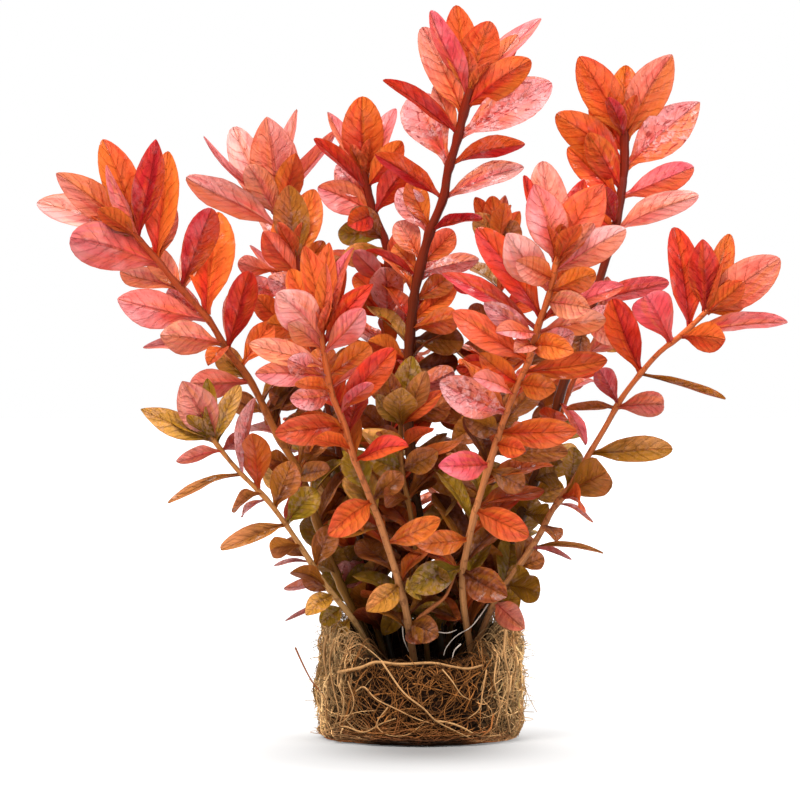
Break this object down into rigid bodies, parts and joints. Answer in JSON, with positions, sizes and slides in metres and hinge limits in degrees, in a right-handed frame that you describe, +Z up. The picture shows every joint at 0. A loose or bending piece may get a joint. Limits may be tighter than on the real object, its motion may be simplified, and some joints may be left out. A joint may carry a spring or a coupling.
{
  "type": "red rotala aquarium plant",
  "caption": "Clump of slender reddish aquarium stems with paired oval leaves, fanning up from a round fibrous root ball that rests on its flat underside.",
  "frame": {"origin": "centre of the root ball's flat underside, on the surface it rests on", "axes": "+Z up along the clump; -Y toward the viewer of the picture; +X to the viewer's right"},
  "size_m": [0.1859, 0.0935, 0.1835],
  "materials": {
    "crown_centre_back": "moist waxy leaves, orange to crimson and pink",
    "crown_far_left": "moist waxy leaves, orange to crimson and pink",
    "crown_front_left": "moist waxy leaves, orange to crimson and pink",
    "crown_front_right": "moist waxy leaves, orange to crimson and pink",
    "crown_left_back": "moist waxy leaves, orange to crimson and pink",
    "crown_low_left": "moist waxy leaves, orange to crimson and pink",
    "crown_mid_left": "moist waxy leaves, orange to crimson and pink",
    "crown_mid_right": "moist waxy leaves, orange to crimson and pink",
    "crown_right": "moist waxy leaves, orange to crimson and pink",
    "crown_right_back": "moist waxy leaves, orange to crimson and pink",
    "crown_small_centre": "moist waxy leaves, orange to crimson and pink",
    "crown_tall_centre": "moist waxy leaves, orange to crimson and pink",
    "crown_tall_right": "moist waxy leaves, orange to crimson and pink",
    "leaf_centre_back_1": "moist waxy leaf with a darker midrib",
    "leaf_far_left_1": "moist waxy leaf with a darker midrib",
    "leaf_far_left_2": "moist waxy leaf with a darker midrib",
    "leaf_far_left_3": "moist waxy leaf with a darker midrib",
    "leaf_front_left_1": "moist waxy leaf with a darker midrib",
    "leaf_front_left_2": "moist waxy leaf with a darker midrib",
    "leaf_front_left_3": "moist waxy leaf with a darker midrib",
    "leaf_front_left_4": "moist waxy leaf with a darker midrib",
    "leaf_front_left_5": "moist waxy leaf with a darker midrib",
    "leaf_front_right_1": "moist waxy leaf with a darker midrib",
    "leaf_front_right_2": "moist waxy leaf with a darker midrib",
    "leaf_front_right_3": "moist waxy leaf with a darker midrib",
    "leaf_front_right_4": "moist waxy leaf with a darker midrib",
    "leaf_front_right_5": "moist waxy leaf with a darker midrib",
    "leaf_front_right_6": "moist waxy leaf with a darker midrib",
    "leaf_front_right_7": "moist waxy leaf with a darker midrib",
    "leaf_front_right_8": "moist waxy leaf with a darker midrib",
    "leaf_left_back_1": "moist waxy leaf with a darker midrib",
    "leaf_low_left_1": "moist waxy leaf with a darker midrib",
    "leaf_mid_left_1": "moist waxy leaf with a darker midrib",
    "leaf_right_1": "moist waxy leaf with a darker midrib",
    "leaf_right_2": "moist waxy leaf with a darker midrib",
    "leaf_right_3": "moist waxy leaf with a darker midrib",
    "leaf_right_4": "moist waxy leaf with a darker midrib",
    "leaf_tall_centre_1": "moist waxy leaf with a darker midrib",
    "leaf_tall_centre_2": "moist waxy leaf with a darker midrib",
    "leaf_tall_centre_3": "moist waxy leaf with a darker midrib",
    "leaf_tall_centre_4": "moist waxy leaf with a darker midrib",
    "leaf_tall_right_1": "moist waxy leaf with a darker midrib",
    "leaf_tall_right_2": "moist waxy leaf with a darker midrib",
    "root_ball": "matte fibrous roots",
    "stem_centre_back": "satin, tan to red-brown, with small leaves",
    "stem_far_left": "satin, tan to red-brown, with small leaves",
    "stem_front_left": "satin, tan to red-brown, with small leaves",
    "stem_front_right": "satin, tan to red-brown, with small leaves",
    "stem_left_back": "satin, tan to red-brown, with small leaves",
    "stem_low_left": "satin, tan to red-brown, with small leaves",
    "stem_mid_left": "satin, tan to red-brown, with small leaves",
    "stem_mid_right": "satin, tan to red-brown, with small leaves",
    "stem_right": "satin, tan to red-brown, with small leaves",
    "stem_right_back": "satin, tan to red-brown, with small leaves",
    "stem_small_centre": "satin, tan to red-brown, with small leaves",
    "stem_tall_centre": "satin, tan to red-brown, with small leaves",
    "stem_tall_right": "satin, tan to red-brown, with small leaves"
  },
  "bodies": {
    "root": {"crown_centre_back": "crown_centre_back", "crown_far_left": "crown_far_left", "crown_front_left": "crown_front_left", "crown_front_right": "crown_front_right", "crown_left_back": "crown_left_back", "crown_low_left": "crown_low_left", "crown_mid_left": "crown_mid_left", "crown_mid_right": "crown_mid_right", "crown_right": "crown_right", "crown_right_back": "crown_right_back", "crown_small_centre": "crown_small_centre", "crown_tall_centre": "crown_tall_centre", "crown_tall_right": "crown_tall_right", "leaf_centre_back_1": "leaf_centre_back_1", "leaf_far_left_1": "leaf_far_left_1", "leaf_far_left_2": "leaf_far_left_2", "leaf_far_left_3": "leaf_far_left_3", "leaf_front_left_1": "leaf_front_left_1", "leaf_front_left_2": "leaf_front_left_2", "leaf_front_left_3": "leaf_front_left_3", "leaf_front_left_4": "leaf_front_left_4", "leaf_front_left_5": "leaf_front_left_5", "leaf_front_right_1": "leaf_front_right_1", "leaf_front_right_2": "leaf_front_right_2", "leaf_front_right_3": "leaf_front_right_3", "leaf_front_right_4": "leaf_front_right_4", "leaf_front_right_5": "leaf_front_right_5", "leaf_front_right_6": "leaf_front_right_6", "leaf_front_right_7": "leaf_front_right_7", "leaf_front_right_8": "leaf_front_right_8", "leaf_left_back_1": "leaf_left_back_1", "leaf_low_left_1": "leaf_low_left_1", "leaf_mid_left_1": "leaf_mid_left_1", "leaf_right_1": "leaf_right_1", "leaf_right_2": "leaf_right_2", "leaf_right_3": "leaf_right_3", "leaf_right_4": "leaf_right_4", "leaf_tall_centre_1": "leaf_tall_centre_1", "leaf_tall_centre_2": "leaf_tall_centre_2", "leaf_tall_centre_3": "leaf_tall_centre_3", "leaf_tall_centre_4": "leaf_tall_centre_4", "leaf_tall_right_1": "leaf_tall_right_1", "leaf_tall_right_2": "leaf_tall_right_2", "root_ball": "root_ball", "stem_centre_back": "stem_centre_back", "stem_far_left": "stem_far_left", "stem_front_left": "stem_front_left", "stem_front_right": "stem_front_right", "stem_left_back": "stem_left_back", "stem_low_left": "stem_low_left", "stem_mid_left": "stem_mid_left", "stem_mid_right": "stem_mid_right", "stem_right": "stem_right", "stem_right_back": "stem_right_back", "stem_small_centre": "stem_small_centre", "stem_tall_centre": "stem_tall_centre", "stem_tall_right": "stem_tall_right"}
  },
  "joints": []
}
